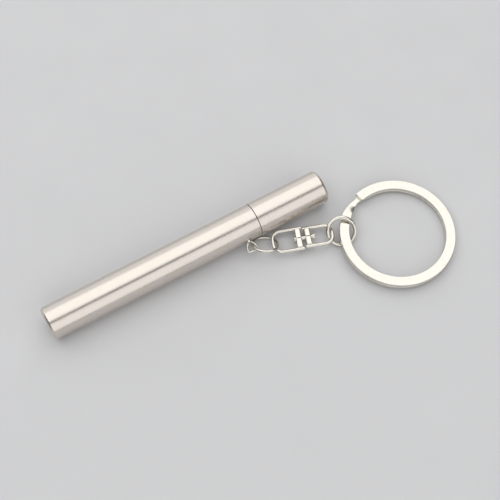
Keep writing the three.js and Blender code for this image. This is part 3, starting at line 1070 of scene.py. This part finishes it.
def yoke_path(start, end, half):
    """The middle line of a yoke's rod: along one arm, round the closed end and back."""
    turn = end - YOKE_CORNER
    arm = [start + i * YOKE_STEP for i in range(int((turn - start) / YOKE_STEP) + 1)]
    path = [(along, -half, 0) for along in arm]
    for across, first in ((YOKE_CORNER - half, -90), (half - YOKE_CORNER, 0)):
        for i in range(BEND_STEPS + 1):
            angle = math.radians(first + 90 * i / BEND_STEPS)
            path.append((turn + YOKE_CORNER * math.cos(angle), across + YOKE_CORNER * math.sin(angle), 0))
    return path + [(along, half, 0) for along in reversed(arm)]


def yoke(node, name):
    """A rod bent to a U, with a slit bar across its open end that the rivet passes."""
    matrix = yoke_frame(node)
    inside = matrix.inverted()
    points = [inside @ Vector(p) for p in points_of(node)]
    start = min(p.x for p in points)
    end = max(p.x for p in points) - YOKE_ROD
    half = max(abs(p.y) for p in points) - YOKE_ROD
    rod = swept(yoke_path(start, end, half), YOKE_ROD, 24)
    place = (BAR_GAP / 2 + BAR_DEPTH / 2, 0, 0)
    bar = moved(rolled_bar(half - YOKE_ROD / 2), place)
    drill = [(-CUT_REACH, 0), (-CUT_REACH, RIVET_HOLE), (CUT_REACH, RIVET_HOLE), (CUT_REACH, 0)]
    hole = moved(turned(drill, 48), place)
    slit = moved(soft_box((SLIT_SIZE, BAR_SLIT, SLIT_SIZE), 0.01), place)
    add_piece(name, fused([rod, bar], [hole, slit], YOKE_VOXEL, 3), matrix, node, sharp=180)


def rolled_bar(half):
    """A strip rolled to a bar along Y, its section a square with bulging sides."""
    steps = 48
    section = []
    for i in range(steps):
        angle = TURN * i / steps
        across, up = math.cos(angle), math.sin(angle)
        size = (abs(across) ** BAR_SQUARENESS + abs(up) ** BAR_SQUARENESS) ** (-1 / BAR_SQUARENESS)
        section.append((across * size * BAR_DEPTH / 2, up * size * BAR_HEIGHT / 2))
    ends = [(-half, BAR_BEVEL), (-half + BAR_BEVEL, 0), (half - BAR_BEVEL, 0), (half, BAR_BEVEL)]
    vertices = []
    for y, inset in ends:
        shrink = 1 - inset / BAR_DEPTH * 2
        vertices += [(across * shrink, y, up * shrink) for across, up in section]
    return vertices, [tuple(reversed(face)) for face in capped(len(ends), len(section))]


def rivet():
    """A rivet with a flat head inside yoke A and a stepped knob inside yoke B."""
    matrix = yoke_frame("swivel_yoke_b")
    inside = matrix.inverted()
    points = [inside @ Vector(p) for p in points_of("swivel_rivet")]
    start = min(p.x for p in points)
    end = max(p.x for p in points)
    head = max(math.hypot(p.y, p.z) for p in points)
    flat_end = start + RIVET_FLAT
    knob = end - RIVET_KNOB
    collar = end - RIVET_COLLAR
    outer_edge, inner_edge, step = 0.1, 0.06, 0.08
    crown = head - step
    outline = [
        (start, 0),
        *corner(start + outer_edge, head - outer_edge, outer_edge, 180, 90, 4),
        *corner(flat_end - inner_edge, head - inner_edge, inner_edge, 90, 0, 3),
        (flat_end, RIVET_SHANK),
        (knob, RIVET_SHANK),
        *corner(knob + step, head - step, step, 180, 90, 3),
        (collar, head),
        (collar + 0.06, crown),
        *corner(end - RIVET_CROWN, crown - RIVET_CROWN, RIVET_CROWN, 90, 0, 6),
        (end, 0),
    ]
    add_piece("swivel_rivet_pin", turned(outline, 48), matrix, "swivel_rivet")


barrel()
head_shell()
barrel_eye()
spring_plate()
spring("tail_spring_coil", "tail_spring", wire=0.3, turns=5, narrow_ratio=0.69, widens=False)
cell_can()
cell_jacket()
cell_cap()
neck_bush()
seal("barrel_seal_ring", "barrel_seal")
seal("head_seal_ring", "head_seal")
spring("contact_spring_coil", "contact_spring", wire=0.2, turns=4.5, narrow_ratio=0.43, widens=True)
driver_board()
inductor()
converter_chip()
heat_sink()
led_board()
led_emitter()
led_dome()
reflector()
lens()
jump_ring("jump_ring_small", "small_ring_wire", SMALL_WIRE, 60)
yoke("swivel_yoke_a", "yoke_a_rod")
yoke("swivel_yoke_b", "yoke_b_rod")
rivet()
jump_ring("jump_ring_large", "large_ring_wire", LARGE_WIRE, 5)
split_ring()


# ---------- stage ----------

CAMERA_HEADING = -29.2  # the way the camera looks, from +Y, in degrees
CAMERA_ELEVATION = 66.4
CAMERA_DISTANCE = 0.305
LENS_MM = 79.8
FLOOR_SIZE = 3.0
LOOK_ALONG = 0.058  # from the tail along the tube
LOOK_ACROSS = -0.0055  # from the tube's axis toward the chain


def direction(azimuth, elevation):
    """The unit vector from the object toward a spot at these angles, azimuth 0 being -Y."""
    a, e = math.radians(azimuth), math.radians(elevation)
    return Vector((math.sin(a) * math.cos(e), -math.cos(a) * math.cos(e), math.sin(e)))


def aim(thing, place, target):
    thing.location = place
    thing.rotation_euler = (target - place).to_track_quat("-Z", "Y").to_euler()


def add_camera():
    target = Vector((TAIL * MM + LOOK_ALONG, AXIS.y + LOOK_ACROSS, 0))
    camera = bpy.data.objects.new("camera", bpy.data.cameras.new("camera"))
    camera.data.lens = LENS_MM
    camera.data.sensor_width = 36
    camera.data.clip_start = 0.01
    bpy.context.scene.collection.objects.link(camera)
    aim(camera, target + direction(CAMERA_HEADING, CAMERA_ELEVATION) * CAMERA_DISTANCE, target)
    bpy.context.scene.camera = camera


def add_light(name, azimuth, elevation, distance, width, height, brightness):
    """A soft rectangle of light. Its brightness is the same whatever its size."""
    light = bpy.data.lights.new(name, "AREA")
    light.shape = "RECTANGLE"
    light.size = width
    light.size_y = height
    light.energy = brightness * width * height
    lamp = bpy.data.objects.new(name, light)
    bpy.context.scene.collection.objects.link(lamp)
    aim(lamp, direction(azimuth, elevation) * distance, Vector((0, 0, 0)))


def add_floor():
    half = FLOOR_SIZE / 2
    corners = [(-half, -half, 0), (half, -half, 0), (half, half, 0), (-half, half, 0)]
    mesh = bpy.data.meshes.new("floor")
    mesh.from_pydata(corners, [], [(0, 1, 2, 3)])
    floor = bpy.data.objects.new("floor", mesh)
    bpy.context.scene.collection.objects.link(floor)
    m = Nodes("floor")
    speck = m.noise((0.05, 0.05, 0.05), 3.0)
    colour = m.colours(m.spread(speck, 0, 1), (0.62, 0.62, 0.625), (0.635, 0.635, 0.64))
    m.set(roughness=0.9)
    mesh.materials.append(m.paint(colour))


def add_world():
    world = bpy.data.worlds.new("studio")
    world.use_nodes = True
    background = world.node_tree.nodes["Background"]
    background.inputs["Color"].default_value = (0.95, 0.97, 1.0, 1)
    background.inputs["Strength"].default_value = 0.15
    bpy.context.scene.world = world


add_camera()
add_light("soft_top", 180, 69.75, 0.8, 1.8, 1.07, 4.1)
add_light("soft_back", 180, 14, 0.8, 1.8, 0.64, 2.5)
add_light("soft_front", 0, 32.75, 0.8, 1.8, 0.88, 3.2)
add_floor()
add_world()
bpy.context.scene.view_settings.view_transform = "Standard"
